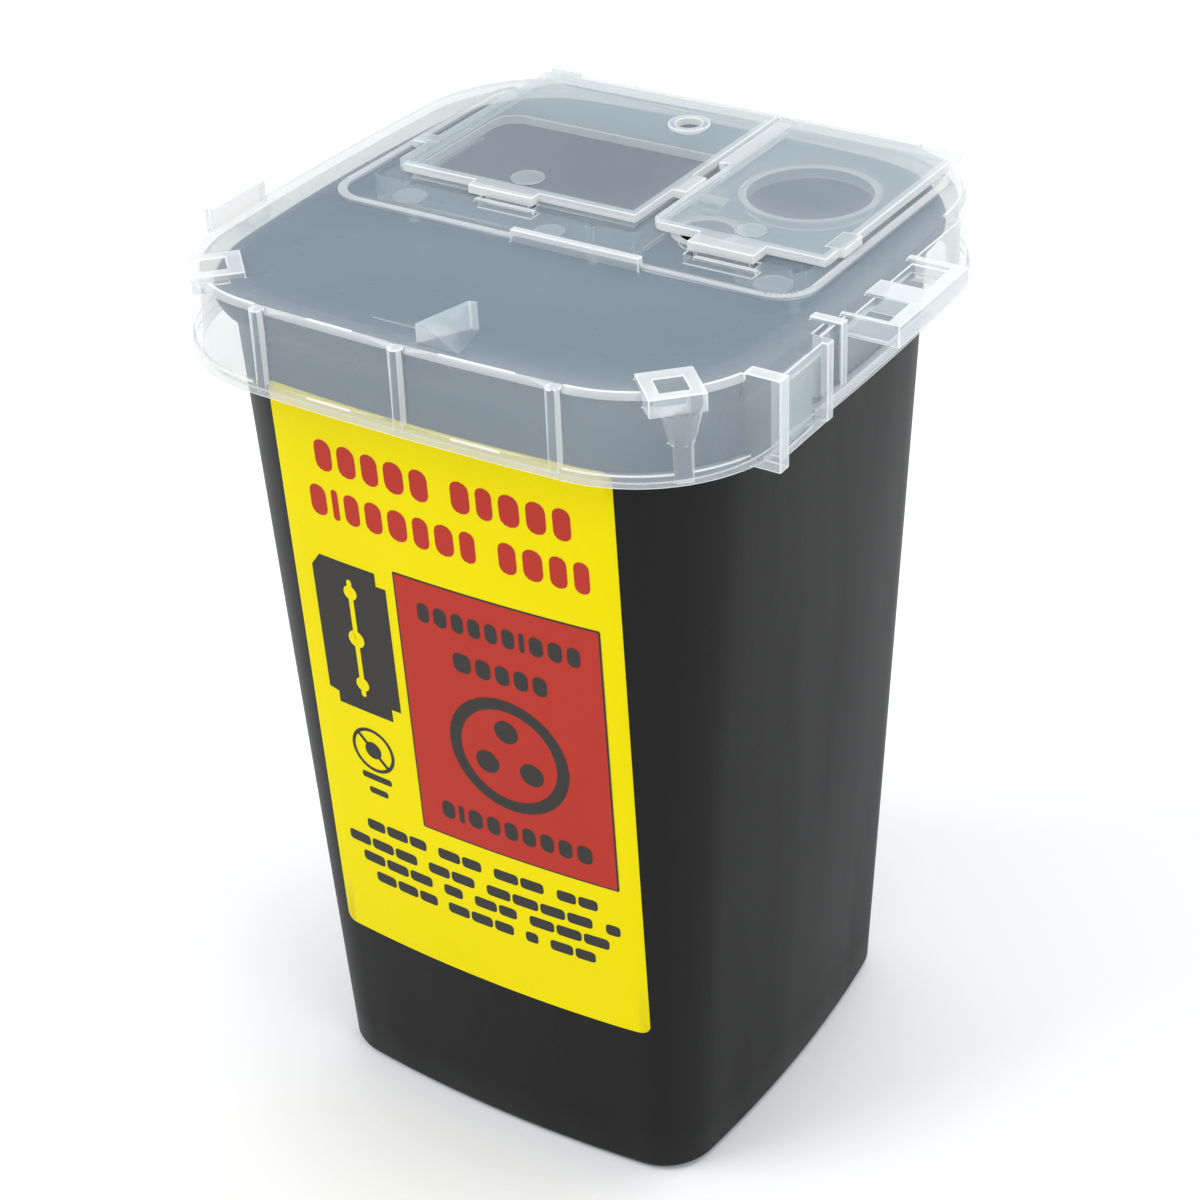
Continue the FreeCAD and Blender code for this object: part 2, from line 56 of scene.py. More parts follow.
def link(obj):
    """Put an object in the scene and hand it back."""
    bpy.context.scene.collection.objects.link(obj)
    return obj


def new_object(name, bm, materials, smooth_angle=35):
    """A mesh object from a bmesh, smooth except at its sharp edges."""
    mesh = bpy.data.meshes.new(name)
    bm.to_mesh(mesh)
    bm.free()
    for material in materials:
        mesh.materials.append(material)
    mesh.polygons.foreach_set("use_smooth", [True] * len(mesh.polygons))
    mesh.set_sharp_from_angle(angle=math.radians(smooth_angle))
    return link(bpy.data.objects.new(name, mesh))


def slice_through(bm, axis, place, unit=1.0):
    """Cut every face of a mesh along a plane across an axis, at a place given in unit."""
    normal = Vector((0, 0, 0))
    normal[axis] = 1.0
    everything = bm.verts[:] + bm.edges[:] + bm.faces[:]
    bmesh.ops.bisect_plane(bm, geom=everything, plane_co=normal * place * unit, plane_no=normal)


# ---------------------------------------------------------------- materials

class Shader:
    """A small helper for building node materials."""

    def __init__(self, name):
        self.material = bpy.data.materials.new(name)
        self.material.use_nodes = True
        self.tree = self.material.node_tree
        self.tree.nodes.clear()
        self.output = self.tree.nodes.new("ShaderNodeOutputMaterial")
        self.place = self.tree.nodes.new("ShaderNodeTexCoord").outputs["Object"]

    def feed(self, socket, value):
        """Link another node's output to a socket, or set the socket's own value."""
        if isinstance(value, bpy.types.NodeSocket):
            self.tree.links.new(value, socket)
        else:
            socket.default_value = value

    def node(self, kind, **inputs):
        """A new node. Input _0 is the first socket, and __ in a name stands for a space."""
        item = self.tree.nodes.new("ShaderNode" + kind)
        for key, value in inputs.items():
            place = int(key[1:]) if key[0] == "_" else key.replace("__", " ")
            self.feed(item.inputs[place], value)
        return item

    def math(self, operation, first, second=0.0, third=0.0):
        item = self.node("Math", _0=first, _1=second, _2=third)
        item.operation = operation
        return item.outputs[0]

    def vector_math(self, operation, first, second):
        """Operation on two vectors, or on a vector and a factor for SCALE."""
        item = self.tree.nodes.new("ShaderNodeVectorMath")
        item.operation = operation
        self.feed(item.inputs[0], first)
        self.feed(item.inputs["Scale" if operation == "SCALE" else 1], second)
        return item.outputs[0]

    def noise(self, scale, detail, stretch=None):
        place = self.place
        if stretch:
            place = self.node("Mapping", Vector=place, Scale=stretch).outputs[0]
        return self.node("TexNoise", Vector=place, Scale=scale, Detail=detail).outputs["Fac"]

    def remap(self, value, low, high, to_low, to_high):
        item = self.node("MapRange", _0=value, _1=low, _2=high, _3=to_low, _4=to_high)
        return item.outputs[0]

    def blend_colour(self, factor, first, second):
        """A colour between two others. Sockets 6 and 7 are the Mix node's colour inputs."""
        item = self.tree.nodes.new("ShaderNodeMix")
        item.data_type = "RGBA"
        for place, value in ((0, factor), (6, first), (7, second)):
            self.feed(item.inputs[place], value)
        return item.outputs[2]

    def bump(self, height, distance):
        return self.node("Bump", Height=height, Distance=distance).outputs[0]

    def finish(self, shader):
        self.tree.links.new(shader, self.output.inputs["Surface"])
        return self.material


def colour(red, green, blue):
    return (red, green, blue, 1.0)


def black_plastic():
    """Satin black moulding, with a fine grain and faint flow marks."""
    s = Shader("black_moulded_plastic")
    grain = s.noise(2600.0, 2.0)
    cloud = s.noise(35.0, 4.0)
    flow = s.noise(60.0, 2.0, (1.0, 1.0, 0.12))
    dark, light = colour(0.0055, 0.0055, 0.0057), colour(0.0080, 0.0080, 0.0082)
    tone = s.blend_colour(cloud, dark, light)
    rough = s.remap(flow, 0.3, 0.7, 0.42, 0.52)
    height = s.math("ADD", s.math("MULTIPLY", grain, 0.5), s.math("MULTIPLY", cloud, 0.6))
    body = s.node("BsdfPrincipled", Base__Color=tone, Roughness=rough, IOR=1.49,
                  Specular__IOR__Level=0.155, Normal=s.bump(height, 0.00006))
    return s.finish(body.outputs[0])


LET_THROUGH = (0.925, 0.94, 0.935)
SPREAD_TINT = (0.99, 0.99, 0.985)


def translucent(name, thin, thick, thin_tint, thick_tint, roughness=0.22, share_back=0.5):
    """Milky moulded plastic that turns whiter where light crosses more of it.

    Each surface sends some light back, spreads some forwards and lets the rest straight through,
    and the three add up to a little under one in each colour. So the plastic is bluish over black
    and nearly colourless over white, as thin polypropylene is. thin and thick are how opaque it is
    where the faces' whiteness is 0 and 1.
    """
    s = Shader(name)
    marked = s.node("Attribute")
    marked.attribute_name = "whiteness"
    marked.attribute_type = "GEOMETRY"
    cloud = s.noise(30.0, 3.0)
    streak = s.noise(26.0, 2.0, (1.0, 4.0, 1.0))
    uneven = s.math("ADD", s.remap(cloud, 0.3, 0.7, -0.015, 0.015),
                    s.remap(streak, 0.3, 0.7, -0.008, 0.008))
    whiteness = marked.outputs["Fac"]
    opacity = s.math("ADD", s.remap(whiteness, 0.0, 1.0, thin, thick), uneven)
    tint = s.blend_colour(whiteness, thin_tint, thick_tint)
    normal = s.bump(cloud, 0.00006)
    back = s.vector_math("SCALE", tint, s.math("MULTIPLY", opacity, share_back))
    forward = s.vector_math("SCALE", SPREAD_TINT, s.math("MULTIPLY", opacity, 1.0 - share_back))
    straight = s.vector_math("SUBTRACT", LET_THROUGH, s.vector_math("ADD", back, forward))
    scatter = s.node("BsdfDiffuse", Color=back, Normal=normal).outputs[0]
    spread = s.node("BsdfTranslucent", Color=forward, Normal=normal).outputs[0]
    clear = s.node("BsdfTransparent", Color=straight).outputs[0]
    milk = s.node("AddShader", _0=scatter, _1=spread).outputs[0]
    body = s.node("AddShader", _0=milk, _1=clear).outputs[0]
    gloss = s.node("BsdfGlossy", Color=colour(1, 1, 1), Roughness=roughness,
                   Normal=normal).outputs[0]
    outside = s.math("SUBTRACT", 1.0, s.node("NewGeometry").outputs["Backfacing"])
    shine = s.math("MULTIPLY", s.node("Fresnel", IOR=1.36, Normal=normal).outputs[0], outside)
    return s.finish(s.node("MixShader", _0=shine, _1=body, _2=gloss).outputs[0])


def printed(name, ink):
    """Ink on a slightly glossy film, with a faint print grain."""
    s = Shader(name)
    grain = s.noise(1800.0, 2.0)
    cloud = s.noise(30.0, 3.0)
    light = colour(*(min(1.0, c * 1.05) for c in ink))
    dark = colour(*(c * 0.94 for c in ink))
    blotch = s.math("MULTIPLY_ADD", cloud, 0.7, s.math("MULTIPLY", grain, 0.3))
    tone = s.blend_colour(blotch, dark, light)
    height = s.math("ADD", cloud, s.math("MULTIPLY", grain, 0.2))
    body = s.node("BsdfPrincipled", Base__Color=tone, Roughness=0.45, IOR=1.45,
                  Specular__IOR__Level=0.07, Normal=s.bump(height, 0.00005))
    return s.finish(body.outputs[0])


def backdrop_white():
    """Plain off-white of the studio floor and backdrop."""
    s = Shader("pale_backdrop")
    cloud = s.noise(3.0, 2.0)
    tone = s.blend_colour(cloud, colour(0.88, 0.885, 0.89), colour(0.91, 0.915, 0.92))
    body = s.node("BsdfPrincipled", Base__Color=tone, Roughness=0.6,
                  Normal=s.bump(s.noise(500.0, 2.0), 0.00004))
    return s.finish(body.outputs[0])


BLACK = black_plastic()
CLEAR = translucent("milky_lid_plastic", 0.265, 0.74,
                    colour(0.60, 0.79, 1.0), colour(0.93, 0.97, 1.0))
FLAP = translucent("milky_flap_plastic", 0.225, 0.78,
                   colour(0.64, 0.81, 1.0), colour(0.95, 0.98, 1.0))
# Plastic for the rounded edges, near-opaque and white: partly the longer path through the plastic
# there, partly a painted highlight for the light the edges gather.
EDGE_WITH_PAINTED_HIGHLIGHT = translucent("edge_plastic_with_painted_highlight", 0.90, 0.92,
                   colour(0.95, 0.975, 1.0), colour(0.97, 0.98, 1.0), 0.15, 0.68)
YELLOW = printed("yellow_label_film", (0.785, 0.665, 0.0))
RED = printed("red_ink", (0.435, 0.039, 0.026))
DARK = printed("dark_ink", (0.045, 0.043, 0.040))


# ---------------------------------------------------------------- bowed outlines

class Ring:
    """A square outline with bowed sides and tangent corner arcs, in mm."""

    def __init__(self, height, half, side_radius, corner):
        self.height = height
        self.side_radius = side_radius
        self.corner = corner
        self.offset = side_radius - half
        span = 2 * (side_radius - corner) ** 2 - self.offset ** 2
        self.reach = (math.sqrt(span) - self.offset) / 2
        self.lean = math.atan2(self.reach, self.offset + self.reach)

    def front(self, way):
        """Point on the front side: way 0 is mid-face, 1 the side's end, 2 the corner's end."""
        side = -1.0 if way < 0 else 1.0
        way = abs(way)
        if way <= 1.0:
            turn = self.lean * way
            x = self.side_radius * math.sin(turn)
            y = self.offset - self.side_radius * math.cos(turn)
        else:
            turn = self.lean + (math.pi / 2 - 2 * self.lean) * (way - 1.0)
            x = self.reach + self.corner * math.sin(turn)
            y = -self.reach - self.corner * math.cos(turn)
        return side * x, y

    def points(self):
        """The whole outline, anticlockwise seen from above, starting at the front's left end."""
        per_side, per_corner = 14, 12
        ways = [-1.0 + 2.0 * i / per_side for i in range(per_side)]
        ways += [1.0 + i / per_corner for i in range(per_corner)]
        quarter = [self.front(way) for way in ways]
        outline = []
        for turn in range(4):
            c, s = round(math.cos(turn * math.pi / 2)), round(math.sin(turn * math.pi / 2))
            outline += [Vector((c * x - s * y, s * x + c * y, self.height)) * MM
                        for x, y in quarter]
        return outline


def blend_rings(low, high, height, inset=0.0):
    """The outline that a straight wall between two rings has at a height, moved in by inset."""
    part = (height - low[0]) / (high[0] - low[0])
    half, side, corner = (a + (b - a) * part for a, b in zip(low[1:], high[1:]))
    return Ring(height, half - inset, side, corner - inset)


def wall_point(x, z, lift):
    """A point on the tub's front wall at x and z, lifted off it, all in mm."""
    low, high = Ring(*BASE_RING), Ring(*WALL_RING)
    part = (z - low.height) / (high.height - low.height)
    halvings, step_along = 30, 0.02

    def at(way):
        (x0, y0), (x1, y1) = low.front(way), high.front(way)
        return x0 + (x1 - x0) * part, y0 + (y1 - y0) * part

    near, far = -2.0, 2.0
    for _ in range(halvings):
        middle = (near + far) / 2
        if at(middle)[0] < x:
            near = middle
        else:
            far = middle
    way = (near + far) / 2
    px, py = at(way)
    qx, qy = at(way + step_along)
    normal = Vector((qy - py, px - qx, 0)).normalized()
    return Vector((px, py, z)) * MM + normal * lift * MM


def bridge(bm, rings):
    """Skin a stack of outlines and close both its ends."""
    rows = [[bm.verts.new(point) for point in ring] for ring in rings]
    count = len(rows[0])
    for low, high in zip(rows, rows[1:]):
        for i in range(count):
            j = (i + 1) % count
            bm.faces.new((low[i], low[j], high[j], high[i]))
    bm.faces.new(list(reversed(rows[0])))
    bm.faces.new(rows[-1])


# ---------------------------------------------------------------- the tub

def inner_ring(height, inset=0.0):
    return blend_rings(CAVITY_FLOOR_RING, CAVITY_MOUTH_RING, height, inset)


def make_tub():
    """One skin: rounded foot, tapered wall, rolled rim, and the hollow down to its floor."""
    foot = [Ring(0.0, 39.3, 262.0, 9.1), Ring(0.25, 39.9, 262.0, 9.7), Ring(0.9, 40.5, 262.0, 10.3)]
    wall_heights = [1.6] + [10.0 * step for step in range(1, 16)] + [155.4]
    wall = [blend_rings(BASE_RING, WALL_RING, height) for height in wall_heights]
    rim = [
        Ring(156.2, 48.05, 370.0, 19.9),
        Ring(156.9, 48.6, 380.0, 20.3),
        Ring(157.6, 49.4, 400.0, 21.0),
        Ring(158.3, 50.05, 420.0, 21.6),
        Ring(159.0, 50.4, 438.0, 21.9),
        Ring(159.6, 50.5, 441.0, 22.0),
        Ring(160.4, 50.45, 440.0, 21.95),
        Ring(161.2, 50.15, 436.0, 21.7),
        Ring(162.0, 49.6, 425.0, 21.3),
        Ring(162.7, 48.85, 405.0, 20.7),
        Ring(163.15, 48.05, 385.0, 20.1),
        Ring(163.3, 47.3, 372.0, 19.5),
        Ring(163.3, 46.75, 366.0, 18.95),
        Ring(163.1, 46.45, 366.0, 18.65),
    ]
    hollow = [inner_ring(height) for height in (162.5, 150, 120, 90, 60, 30, 10, 4.5)]
    hollow += [inner_ring(3.0, 0.4), inner_ring(2.3, 1.2), inner_ring(2.0, 2.6)]
    bm = bmesh.new()
    bridge(bm, [ring.points() for ring in foot + wall + rim + hollow])
    bmesh.ops.recalc_face_normals(bm, faces=bm.faces)
    tub = new_object("tub_moulding", bm, [BLACK])
    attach(tub, "container")
    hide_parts("container_tub")


# ---------------------------------------------------------------- the label

FILM_BOX = (-31.5, 34.0, 33.2, 148.4)
FILM_CORNER = 1.6
FILM_THICKNESS = 0.12
FILM_LIFT = 0.16
PRINT_LIFTS = (0.19, 0.22, 0.25)
STRIP_WIDTH, STRIP_HEIGHT = 2.5, 12.0
INK_RED, INK_DARK, INK_YELLOW = 0, 1, 2
WORD_SPACE = 0.55


def wrapped(outlines, lift):
    """Flat outlines in x and z, cut into strips and laid on the front wall.

    outlines is a list of (points, material index), and lift is how far they stand off the wall.
    """
    bm = bmesh.new()
    for points, index in outlines:
        face = bm.faces.new([bm.verts.new((x, 0.0, z)) for x, z in points])
        face.material_index = index
    bmesh.ops.triangulate(bm, faces=bm.faces)
    for axis, step in ((0, STRIP_WIDTH), (2, STRIP_HEIGHT)):
        places = [vert.co[axis] for vert in bm.verts]
        cut, high = min(places) + step, max(places)
        while cut < high:
            slice_through(bm, axis, cut)
            cut += step
    bmesh.ops.remove_doubles(bm, verts=bm.verts, dist=0.0005)
    for vert in bm.verts:
        vert.co = wall_point(vert.co.x, vert.co.z, lift)
    for face in bm.faces:
        if face.normal.y > 0:
            face.normal_flip()
    return bm


def rounded_box(left, low, right, high, radius, steps=5):
    """Corner-rounded rectangle as a list of points, anticlockwise seen from the front."""
    centres = ((right - radius, low + radius, -90), (right - radius, high - radius, 0),
               (left + radius, high - radius, 90), (left + radius, low + radius, 180))
    points = []
    for cx, cz, start in centres:
        for step in range(steps + 1):
            turn = math.radians(start + 90.0 * step / steps)
            points.append((cx + radius * math.cos(turn), cz + radius * math.sin(turn)))
    return points


def disc(cx, cz, radius, steps=20):
    turns = [2 * math.pi * i / steps for i in range(steps)]
    return [(cx + radius * math.cos(turn), cz + radius * math.sin(turn)) for turn in turns]


def ring_strip(cx, cz, outer, inner, steps=40):
    """A flat ring as a list of four-cornered outlines."""
    strips = []
    for step in range(steps):
        a = math.radians(360.0 * step / steps)
        b = math.radians(360.0 * (step + 1) / steps)
        strips.append([(cx + inner * math.cos(a), cz + inner * math.sin(a)),
                       (cx + outer * math.cos(a), cz + outer * math.sin(a)),
                       (cx + outer * math.cos(b), cz + outer * math.sin(b)),
                       (cx + inner * math.cos(b), cz + inner * math.sin(b))])
    return strips


def turned(points, cx, cz, degrees):
    """Points turned about a centre."""
    c, s = math.cos(math.radians(degrees)), math.sin(math.radians(degrees))
    return [(cx + (x - cx) * c - (z - cz) * s, cz + (x - cx) * s + (z - cz) * c) for x, z in points]


def block_row(left, right, low, height, widths, gap):
    """A row of plain rounded blocks that stands where the photo has a line of text.

    widths are relative; 0 is a space between words.
    """
    total = sum(width or WORD_SPACE for width in widths)
    unit = (right - left - gap * (len(widths) - 1)) / total
    blocks, x = [], left
    for width in widths:
        span = (width or WORD_SPACE) * unit
        if width:
            radius = min(0.3 * height, 0.45 * span)
            blocks.append(rounded_box(x, low, x + span, low + height, radius, 3))
        x += span + gap
    return blocks


def blade_pictogram(cx, cz):
    """A plain double-edged blade: a long plate with stepped corners and a slot along its middle."""
    half_w, half_h, step_w, step_h = 7.9, 15.2, 2.0, 2.6
    slot_half_w, slot_half_h, slot_corner = 0.5, 12.0, 0.45
    holes = ((-9.4, 1.4), (0.0, 1.7), (9.4, 1.4))
    plate = [(cx - half_w + step_w, cz - half_h), (cx + half_w - step_w, cz - half_h),
             (cx + half_w - step_w, cz - half_h + step_h), (cx + half_w, cz - half_h + step_h),
             (cx + half_w, cz + half_h - step_h), (cx + half_w - step_w, cz + half_h - step_h),
             (cx + half_w - step_w, cz + half_h), (cx - half_w + step_w, cz + half_h),
             (cx - half_w + step_w, cz + half_h - step_h), (cx - half_w, cz + half_h - step_h),
             (cx - half_w, cz - half_h + step_h), (cx - half_w + step_w, cz - half_h + step_h)]
    slot = [rounded_box(cx - slot_half_w, cz - slot_half_h, cx + slot_half_w, cz + slot_half_h,
                        slot_corner, 3)]
    slot += [disc(cx, cz + dz, radius, 18) for dz, radius in holes]
    return plate, slot


def print_layer(name, shapes, lift):
    """One printed layer on the label: shapes is a list of (points, ink index)."""
    piece = new_object(name, wrapped(shapes, lift), [RED, DARK, YELLOW])
    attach(piece, "container")


def make_label():
    """The film, and three layers of plain shapes where the photo has print."""
    film = wrapped([(rounded_box(*FILM_BOX, FILM_CORNER), 0)], FILM_LIFT)
    label = new_object("label_film", film, [YELLOW])
    thickness = label.modifiers.new("film", "SOLIDIFY")
    thickness.thickness = FILM_THICKNESS * MM
    thickness.offset = -1.0
    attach(label, "container")
    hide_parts("front_label")

    under, over, top = [], [], []
    title_height, title_gap = 5.9, 1.2
    titles = (
        (-23.0, 25.9, 134.3, (1.0, 1.05, 0.95, 1.1, 1.0, 0, 1.0, 0.85, 1.05, 1.0, 0.9)),
        (-25.3, 28.5, 125.2, (1.0, 0.4, 0.9, 1.0, 1.1, 0.9, 1.05, 0.85, 0, 0.95, 1.05, 0.9, 0.8)),
    )
    for left, right, low, widths in titles:
        under += [(points, INK_RED)
                  for points in block_row(left, right, low, title_height, widths, title_gap)]
    under.append((rounded_box(-9.6, 65.5, 29.6, 118.8, 0.4), INK_DARK))
    over.append((rounded_box(-9.25, 65.85, 29.25, 118.45, 0.3), INK_RED))

    plate, slot = blade_pictogram(-19.4, 101.8)
    under.append((plate, INK_DARK))
    over += [(points, INK_YELLOW) for points in slot]

    sign_x, sign_z = -19.1, 78.3
    under += [(points, INK_DARK) for points in ring_strip(sign_x, sign_z, 4.7, 4.0)]
    slash = rounded_box(sign_x - 4.1, sign_z - 0.35, sign_x + 4.1, sign_z + 0.35, 0.1, 1)
    over.append((turned(slash, sign_x, sign_z, -45), INK_DARK))
    under.append((disc(sign_x, sign_z, 1.8), INK_DARK))
    for low, half_width in ((71.5, 3.3), (68.4, 2.1)):
        caption = rounded_box(sign_x - half_width, low, sign_x + half_width, low + 1.4, 0.5, 3)
        under.append((caption, INK_DARK))

    note_height, note_gap = 2.3, 0.45
    notes = (
        (-22.9, 25.2, 59.6, (1.3, 1.5, 1.2, 0, 1.5, 1.3, 0, 1.6, 1.5, 0, 1.2, 1.2)),
        (-27.7, 29.2, 55.2, (1.6, 1.6, 1.6, 0, 1.5, 1.6, 0, 1.6, 1.7, 1.6, 1.6, 0, 0.9)),
        (-24.9, 26.9, 51.5, (1.6, 1.6, 1.6, 0, 1.3, 0, 1.5, 1.2, 0, 1.6, 1.6, 1.6)),
        (-22.4, 24.0, 47.5, (1.6, 1.6, 1.4, 0, 1.6, 1.6, 1.4, 0, 0.9, 0, 1.6, 1.4)),
    )
    for left, right, low, widths in notes:
        under += [(points, INK_DARK)
                  for points in block_row(left, right, low, note_height, widths, note_gap)]

    panel_height, panel_gap = 3.8, 0.9
    panel_rows = (
        (-5.2, 25.7, 110.5, (1, 1.1, 1, 1, 1, 1, 0.4, 1.1, 1.1, 1)),
        (1.1, 19.1, 102.7, (1.3, 1.1, 1, 1, 1)),
        (-4.8, 25.0, 69.7, (1, 0.4, 1.1, 1, 1, 1, 1, 1, 1.1)),
    )
    for left, right, low, widths in panel_rows:
        top += [(points, INK_DARK)
                for points in block_row(left, right, low, panel_height, widths, panel_gap)]
    centre_x, centre_z, dot_reach, dot_radius = 10.3, 88.0, 5.0, 2.3
    top += [(points, INK_DARK) for points in ring_strip(centre_x, centre_z, 11.6, 9.3)]
    for angle in (90, 210, 330):
        c, s = math.cos(math.radians(angle)), math.sin(math.radians(angle))
        dot = disc(centre_x + dot_reach * c, centre_z + dot_reach * s, dot_radius)
        top.append((dot, INK_DARK))

    layers = (("label_print_under", under), ("label_print_over", over), ("label_print_panel", top))
    for (name, shapes), lift in zip(layers, PRINT_LIFTS):
        print_layer(name, shapes, lift)


# ---------------------------------------------------------------- mouldings from the CAD solids

WELD_DISTANCE = 0.01
EDGE_WIDTH = 0.2
EDGE_ROOM = 2.75
SHARP_ANGLE = math.radians(40)
RAY_START, RAY_REACH = 0.02, 50.0
USUAL_DEPTH = 1.5


def reach_across(face, edge):
    """How far a face extends away from one of its edges."""
    start = edge.verts[0].co
    along = (edge.verts[1].co - start).normalized()
    offsets = [vert.co - start for vert in face.verts]
    return max((offset - along * offset.dot(along)).length for offset in offsets)


def is_roundable(edge):
    """A sharp outer edge whose faces are both wide enough for the rounding."""
    return (len(edge.link_faces) == 2 and edge.calc_face_angle(0) > SHARP_ANGLE
            and edge.is_convex
            and all(reach_across(face, edge) > EDGE_ROOM * EDGE_WIDTH * MM
                    for face in edge.link_faces))


def moulding(node_name, piece_name, body, plastic, whiteness, cuts=()):
    """A detailed piece with rounded edges that stands for a CAD node; the roundings get whiter
    plastic, partly a painted highlight.

    whiteness(low, high, normal, depth) says how white a face is, from 0 to 1: low and high are the
    corners of its box and depth is the plastic under it, in mm. cuts are planes, as an axis and a
    place in mm, that part the flat faces where the plastic under them changes.
    """
    bm = bmesh.new()
    bm.from_mesh(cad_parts[node_name].data)
    bmesh.ops.remove_doubles(bm, verts=bm.verts, dist=WELD_DISTANCE * MM)
    # material=1 puts the roundings on the white edge plastic, which is partly a painted highlight.
    bmesh.ops.bevel(bm, geom=[edge for edge in bm.edges if is_roundable(edge)],
                    offset=EDGE_WIDTH * MM, segments=2, profile=0.6, affect="EDGES",
                    clamp_overlap=False, material=1)
    for axis, place in cuts:
        slice_through(bm, axis, place, MM)
    tree = BVHTree.FromBMesh(bm)
    values = []
    for face in bm.faces:
        centre, inward = face.calc_center_median(), -face.normal
        hit = tree.ray_cast(centre + inward * RAY_START * MM, inward, RAY_REACH * MM)
        depth = hit[3] / MM if hit[3] else USUAL_DEPTH
        low = Vector([min(vert.co[axis] for vert in face.verts) for axis in range(3)]) / MM
        high = Vector([max(vert.co[axis] for vert in face.verts) for axis in range(3)]) / MM
        values.append(min(1.0, max(0.0, whiteness(low, high, face.normal, depth))))
    piece = new_object(piece_name, bm, [plastic, EDGE_WITH_PAINTED_HIGHLIGHT])
    stored = piece.data.attributes.new("whiteness", "FLOAT", "FACE")
    stored.data.foreach_set("value", values)
    even = piece.modifiers.new("even_shading", "WEIGHTED_NORMAL")
    even.weight = 100
    even.keep_sharp = True
    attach(piece, body)
    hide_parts(node_name)


DECK_TOP = 165.0
JUST_OVER_DECK, JUST_UNDER_DECK, WELL_OVER_DECK = DECK_TOP + 0.05, DECK_TOP - 0.05, DECK_TOP + 0.3
LID_OUTLINE = Ring(DECK_TOP, 53.2, 591.0, 24.0)
FRONT_RIBS = (-26.0, 0.8, 28.5)


def beyond_outline(x, y):
    """How far a point in plan lies outside the lid's outline, in mm."""
    x, y = abs(x), abs(y)
    if y > x:
        x, y = y, x
    ring = LID_OUTLINE
    from_corner = math.hypot(x - ring.reach, y - ring.reach) - ring.corner
    from_side = math.hypot(x + ring.offset, y) - ring.side_radius
    in_corner = (y > ring.reach - (x - ring.reach) * math.tan(ring.lean)
                 and y > ring.side_radius * math.sin(ring.lean))
    return from_corner if in_corner else from_side


def lid_whiteness(low, high, normal, depth):
    """Lugs, marks, rims and beads are white; walls, panels and the deck are thin."""
    middle = (low + high) / 2
    outside = beyond_outline(middle.x, middle.y)
    # Tops of the ribs on the front skirt.
    if (normal.z > 0.9 and low.z > 160.0 and outside > -0.6 and middle.y < -40.0
            and high.x - low.x < 3.0):
        return 0.9
    # The deck, above and below.
    if abs(normal.z) > 0.98 and high.z < JUST_OVER_DECK and outside < 0.3:
        return 0.0
    # The fin at the front edge.
    if 2.5 < middle.x < 12.5 and middle.y < -42.0 and low.z > JUST_UNDER_DECK:
        return 0.2
    # What stands out from the deck: high lugs, the sides of lugs, the ring and low marks.
    if low.z > WELL_OVER_DECK:
        return 1.0
    if high.z > JUST_OVER_DECK and low.z > JUST_UNDER_DECK:
        if high.z > WELL_OVER_DECK:
            return 0.45
        return 0.9 if middle.y > -3.0 and middle.x > 10.0 else 0.35
    # The deck's rounded rim, and the lip of the large opening.
    if low.z > 163.8 and abs(normal.z) < 0.95:
        return 0.9
    in_large_opening = -36.8 < middle.x < 8.0 and 2.6 < middle.y < 31.7
    if in_large_opening and low.z > 163.3 and abs(normal.z) < 0.3:
        return 0.9
    # The thicker band along the bottom of the skirt.
    if high.z < 152.8 and outside > -0.5:
        return 0.25
    # The square eyes at the front corners.
    if middle.y < -38.0 and abs(middle.x) > 36.0 and low.z > 162.5 and high.z > DECK_TOP:
        return 0.35
    # The ribs on the front skirt, and what else stands out from it.
    spans_skirt = low.z < 153.0 and high.z > 163.0
    on_rib = min(abs(middle.x - rib) for rib in FRONT_RIBS) < 1.4
    if spans_skirt and middle.y < -45.0 and on_rib:
        return 0.9 if abs(normal.x) > 0.6 else 0.1
    if outside > 0.8 and middle.y < -38.0 and middle.x < 49.5:
        return 0.15
    # The lock housing, and the wing beside it.
    if middle.x > 53.0 and middle.y < -14.0 and high.z - low.z > 5.0:
        return 0.5 if normal.x > 0.9 and middle.x > 56.05 else 0.0
    if middle.x > 54.0:
        return 0.1 if abs(normal.z) < 0.5 else 0.0
    return 0.0


def flap_whiteness(low, high, normal, depth):
    """A flap's frame is twice as thick as its panel, and fainter on its rear and left sides."""
    middle = (low + high) / 2
    whole = min(1.0, (depth - 0.75) / 0.6)
    # The small flap's panel.
    if middle.x > 10.3 and depth < 0.8 and abs(normal.z) > 0.9:
        return 0.09
    # The tops of the latch tabs.
    if low.z > 166.75 and normal.z > 0.9:
        return 0.45
    if middle.y > 45.7 or middle.x < -36.9 or (high.z < 166.1 and abs(normal.z) < 0.5):
        return 0.2 * whole
    return 0.6 * whole if abs(normal.z) > 0.9 and high.z > 166.0 else whole


# Planes along the inner edges of each flap's frame.
LARGE_FLAP_CUTS = ((0, -37.0), (0, 8.2), (1, 2.2), (1, 45.8))
SMALL_FLAP_CUTS = ((0, 13.6), (0, 43.3), (1, 1.6), (1, 45.8))

make_tub()
make_label()
moulding("lid_shell", "lid_moulding", "lid", CLEAR, lid_whiteness)
for flap, cuts in (("large_flap", LARGE_FLAP_CUTS), ("small_flap", SMALL_FLAP_CUTS)):
    moulding(flap, flap + "_moulding", flap, FLAP, flap_whiteness, cuts)


# ---------------------------------------------------------------- stage, lights and camera

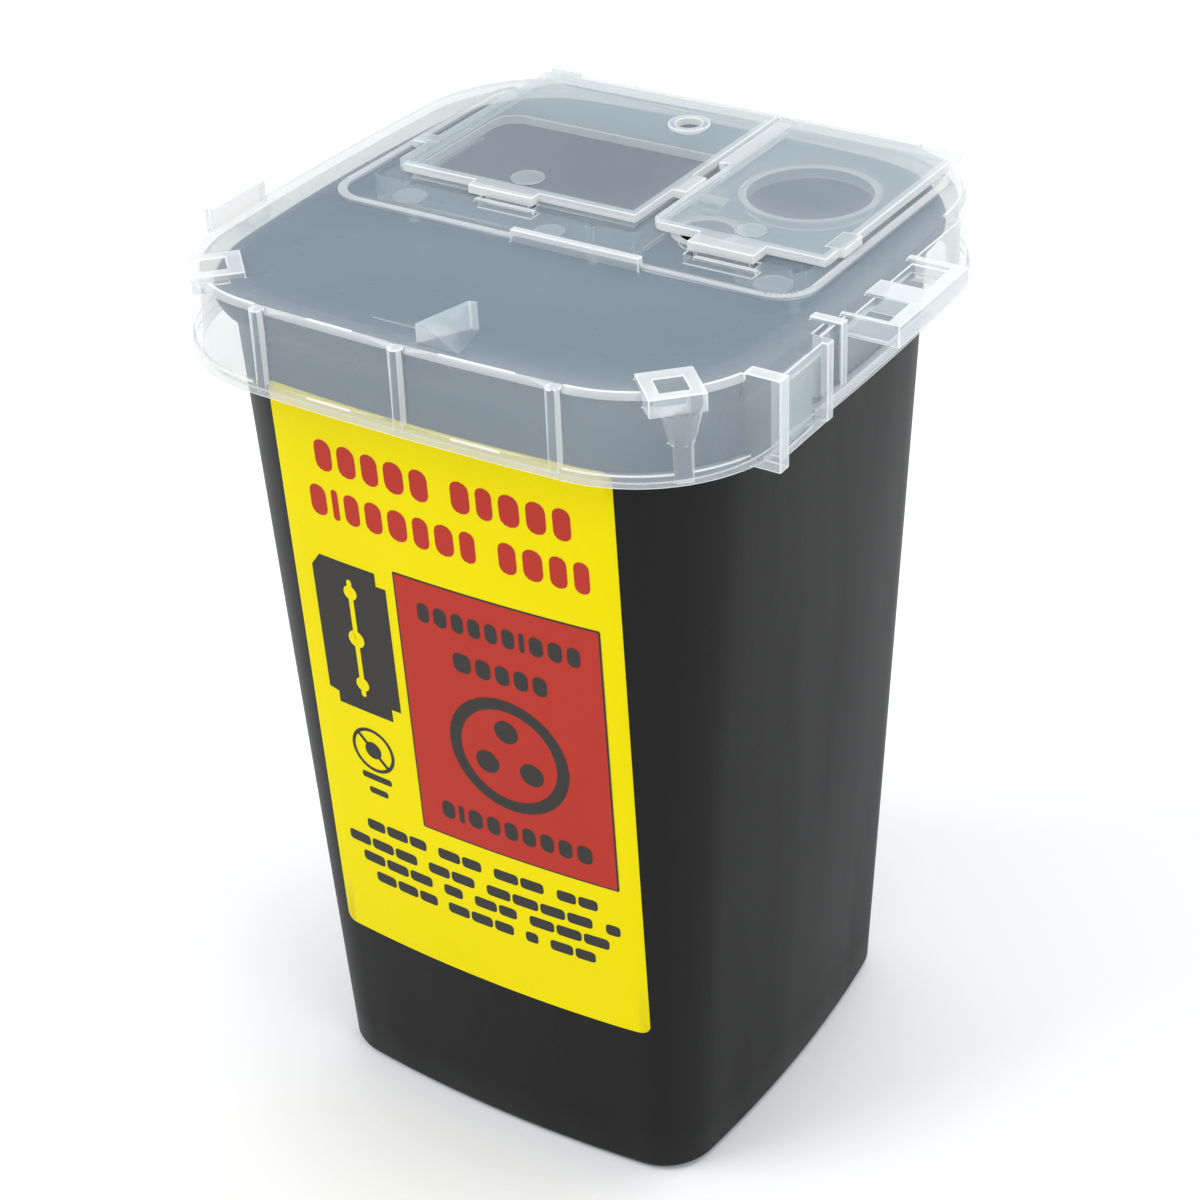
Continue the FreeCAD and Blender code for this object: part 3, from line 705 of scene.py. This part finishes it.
def make_stage():
    """A pale floor that curves up into a backdrop far behind the object."""
    front, bend_start, bend_radius, top, half_width = -4.0, 2.2, 1.0, 4.5, 5.0
    bm = bmesh.new()
    profile = [(front, 0.0), (bend_start, 0.0)]
    for degrees in range(10, 91, 10):
        turn = math.radians(degrees)
        profile.append((bend_start + bend_radius * math.sin(turn),
                        bend_radius - bend_radius * math.cos(turn)))
    profile.append((bend_start + bend_radius, top))
    rows = [[bm.verts.new((x, y, z)) for x in (-half_width, half_width)] for y, z in profile]
    for low, high in zip(rows, rows[1:]):
        bm.faces.new((low[0], low[1], high[1], high[0]))
    bmesh.ops.rotate(bm, verts=bm.verts, cent=(0, 0, 0),
                     matrix=Matrix.Rotation(VIEW_AZIMUTH, 3, "Z"))
    floor = new_object("studio_backdrop", bm, [backdrop_white()], 80)


def area_light(name, position, target, size, power):
    """A soft square lamp at a position, aimed at a target, both in metres."""
    data = bpy.data.lights.new(name, "AREA")
    data.shape = "SQUARE"
    data.size = size
    data.energy = power
    lamp = link(bpy.data.objects.new(name, data))
    lamp.location = position
    lamp.rotation_euler = (Vector(target) - Vector(position)).to_track_quat("-Z", "Y").to_euler()


def make_camera():
    """The photograph's viewing angle, as fitted to the object's edges in it."""
    azimuth, elevation, roll = VIEW_AZIMUTH, math.radians(32.2), math.radians(-2.42)
    target, distance = Vector((-15.81, 23.68, 72.79)) * MM, 500.12 * MM
    back = Vector((math.sin(azimuth) * math.cos(elevation),
                   -math.cos(azimuth) * math.cos(elevation),
                   math.sin(elevation)))
    level = Vector((0, 0, 1)).cross(back).normalized()
    upward = back.cross(level)
    across = level * math.cos(roll) + upward * math.sin(roll)
    up = upward * math.cos(roll) - level * math.sin(roll)
    data = bpy.data.cameras.new("camera")
    data.sensor_width = 36.0
    data.lens = 78.41
    data.clip_start = 0.01
    camera = link(bpy.data.objects.new("camera", data))
    turn = Matrix((across, up, back)).transposed().to_4x4()
    camera.matrix_world = Matrix.Translation(target + back * distance) @ turn
    bpy.context.scene.camera = camera


make_stage()
world = bpy.data.worlds.new("studio")
world.use_nodes = True
background = world.node_tree.nodes["Background"]
background.inputs["Color"].default_value = colour(0.965, 0.98, 1.0)
background.inputs["Strength"].default_value = 0.75
bpy.context.scene.world = world
area_light("key", (-0.9, -0.9, 1.4), (0, 0, 0.08), 0.9, 14.0)
area_light("top", (0.2, 0.5, 1.6), (0, 0, 0.1), 1.2, 12.0)
area_light("right", (1.4, -0.4, 0.9), (0, 0, 0.1), 0.8, 5.0)
bpy.context.scene.view_settings.view_transform = "Standard"
make_camera()
